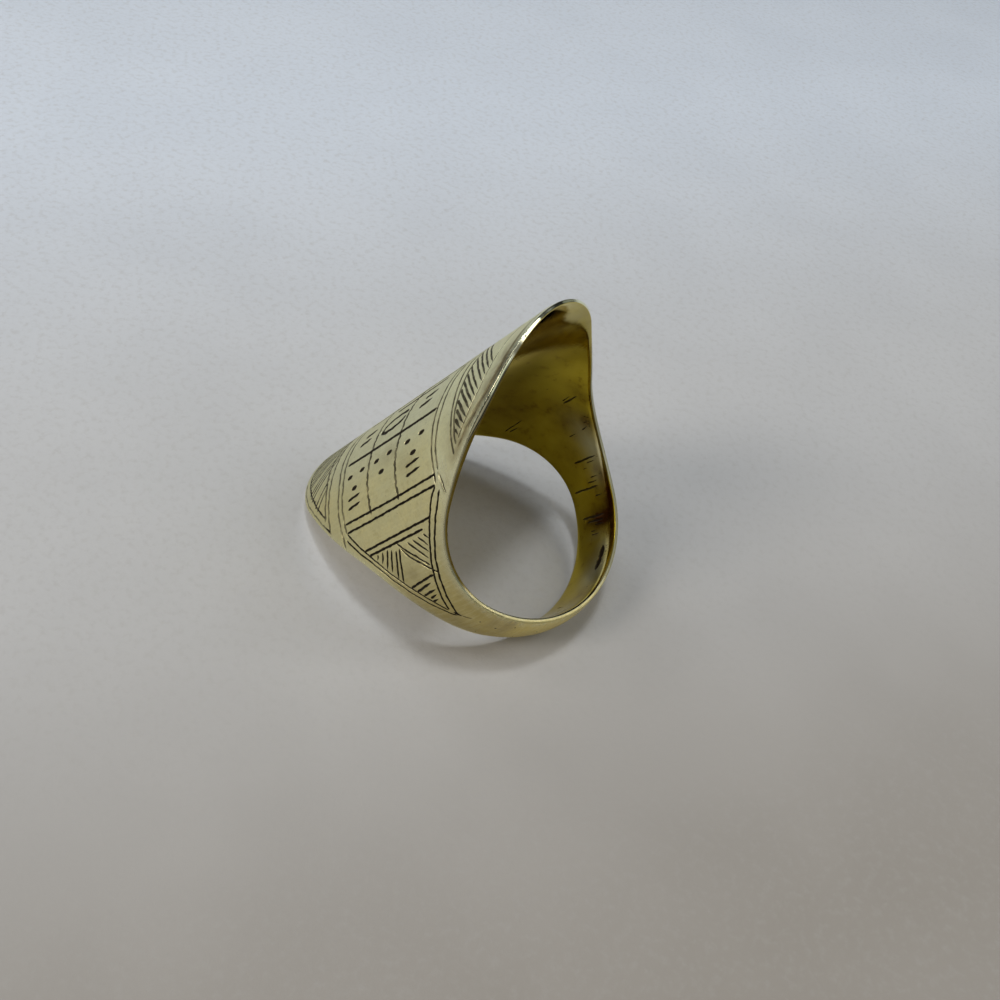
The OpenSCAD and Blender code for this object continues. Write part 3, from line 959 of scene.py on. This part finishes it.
def table_material():
    """Card that is paler and cooler away from the viewer, and darker and warmer on the near side: painted
    daylight far off and a painted shadow near.
    """
    m = Nodes("table_card")
    at = m.place()
    fine = m.noise(at, 1500.0, 4.0, 0.65)
    tone = m.ramp(m.noise(at, 60.0, 3.0, 0.5), 0.3, 0.7)
    turned = m.node("ShaderNodeMapping", Vector=at, Rotation=(0, 0, math.radians(-145.5)))
    away = m.node("ShaderNodeSeparateXYZ", Vector=turned)
    near, middle, far = (m.mix(tone, *tones) for tones in (TABLE_NEAR_PAINTED_SHADOW, TABLE_MIDDLE, TABLE_FAR_PAINTED_LIGHT))
    # Painted shadow towards the viewer, painted daylight away from it
    colour = m.mix(m.ramp(away, -0.042, 0.012), near, middle)
    colour = m.mix(m.ramp(away, 0.004, 0.075), colour, far)
    colour = m.mix(m.ramp(fine, 0.45, 0.75, 0.0, 0.3), colour, SPECKLE)
    m.set("Base Color", colour)
    m.set("Roughness", 0.75)
    m.set("Specular IOR Level", 0.25)
    m.set("Normal", m.node("ShaderNodeBump", Strength=0.35, Distance=0.1 * MM, Height=fine))
    return m.material


# Stage: a table, soft light and the photograph's view
# Half the side of the table, in metres
FLOOR = 1.5
# Directions on the table: the picture's right, and its top
PICTURE_RIGHT, PICTURE_TOP = (0.818, 0.575, 0), (-0.695, 0.719, 0)
# Distance of the lights from the point they are aimed at, and its height over the table, in metres
LIGHT_REACH, AIM = 0.55, 0.008
COOL, WARM = (0.90, 0.95, 1.0), (1.0, 0.95, 0.88)
GREENISH, GREENER = (0.92, 1.0, 0.95), (0.92, 1.0, 0.94)
# Each light's name, its turn on the table from the picture's right towards its top and its height, both in
# degrees, its sides in metres, its power in watts, and its colour
LIGHTS = (
    ("lamp", 207, 33, (0.16, 0.22), 0.90, WARM),
    ("high left", 176, 48, (0.14, 0.14), 0.21, WARM),
    ("overhead", 215, 82, (0.20, 0.20), 0.34, COOL),
    ("window", 62, 87, (0.07, 0.07), 0.57, COOL),
    ("window left", 120, 46, (0.16, 0.16), 0.26, COOL),
    ("right", 0, 50, (0.18, 0.20), 0.37, COOL),
    ("front right", 329, 50, (0.16, 0.20), 0.25, WARM),
    ("glint", 308, 19, (0.18, 0.34), 0.14, GREENISH),
    ("dim front", 320, 36, (0.10, 0.12), 0.022, COOL),
    ("low right", 13, 27, (0.26, 0.16), 0.04, COOL),
    ("low glint", 3, 20, (0.06, 0.26), 0.10, WARM),
    ("far wall", 8, 9, (0.90, 0.20), 0.12, GREENER),
)
SKY_COLOUR, SKY_STRENGTH = (0.86, 0.88, 0.92, 1), 0.012
# The camera's place in millimetres, its own right and the way behind it, and its lens and sensor width
CAMERA_AT = (28.55, -52.28, 65.82)
CAMERA_RIGHT, CAMERA_BACK = (0.8072, 0.5674, 0.1628), (0.3034, -0.6354, 0.7100)
LENS, SENSOR = 39.65, 36.0


def table():
    corners = [(-FLOOR, -FLOOR, 0), (FLOOR, -FLOOR, 0), (FLOOR, FLOOR, 0), (-FLOOR, FLOOR, 0)]
    mesh = bpy.data.meshes.new("table")
    mesh.from_pydata(corners, [], [(0, 1, 2, 3)])
    mesh.materials.append(table_material())
    top = bpy.data.objects.new("table", mesh)
    bpy.context.collection.objects.link(top)
    return top


def soft_room():
    """Faint light from all around."""
    world = bpy.data.worlds.new("soft_room")
    bpy.context.scene.world = world
    world.use_nodes = True
    sky = world.node_tree.nodes["Background"]
    sky.inputs["Color"].default_value = SKY_COLOUR
    sky.inputs["Strength"].default_value = SKY_STRENGTH


def soft_box(name, turn, height, size, power, colour):
    """A soft light aimed at the ring."""
    turn, height = math.radians(turn), math.radians(height)
    level = Vector(PICTURE_RIGHT) * math.cos(turn) + Vector(PICTURE_TOP) * math.sin(turn)
    way = level * math.cos(height) + Vector((0, 0, math.sin(height)))
    data = bpy.data.lights.new(name, "AREA")
    data.shape = "RECTANGLE"
    data.size, data.size_y = size
    data.energy = power
    data.color = colour
    lamp = bpy.data.objects.new(name, data)
    lamp.location = way * LIGHT_REACH + Vector((0, 0, AIM))
    lamp.rotation_euler = (-way).to_track_quat("-Z", "Y").to_euler()
    bpy.context.collection.objects.link(lamp)


def camera():
    """The photograph's view: from above the ring's near tip, turned a little about its line of sight."""
    back = Vector(CAMERA_BACK).normalized()
    up = back.cross(Vector(CAMERA_RIGHT).normalized()).normalized()
    right = up.cross(back)
    data = bpy.data.cameras.new("camera")
    data.sensor_width = SENSOR
    data.lens = LENS
    data.clip_start, data.clip_end = 0.001, 20
    cam = bpy.data.objects.new("camera", data)
    turn = Matrix((right, up, back)).transposed().to_4x4()
    cam.matrix_world = Matrix.Translation(Vector(CAMERA_AT) * MM) @ turn
    bpy.context.collection.objects.link(cam)
    bpy.context.scene.camera = cam


ring = build_ring()
ring.data.materials.append(brass_material())
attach(ring, "root")
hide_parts("ring_band")

floor = table()
soft_room()
for light in LIGHTS:
    soft_box(*light)
camera()
bpy.context.scene.view_settings.view_transform = "Standard"
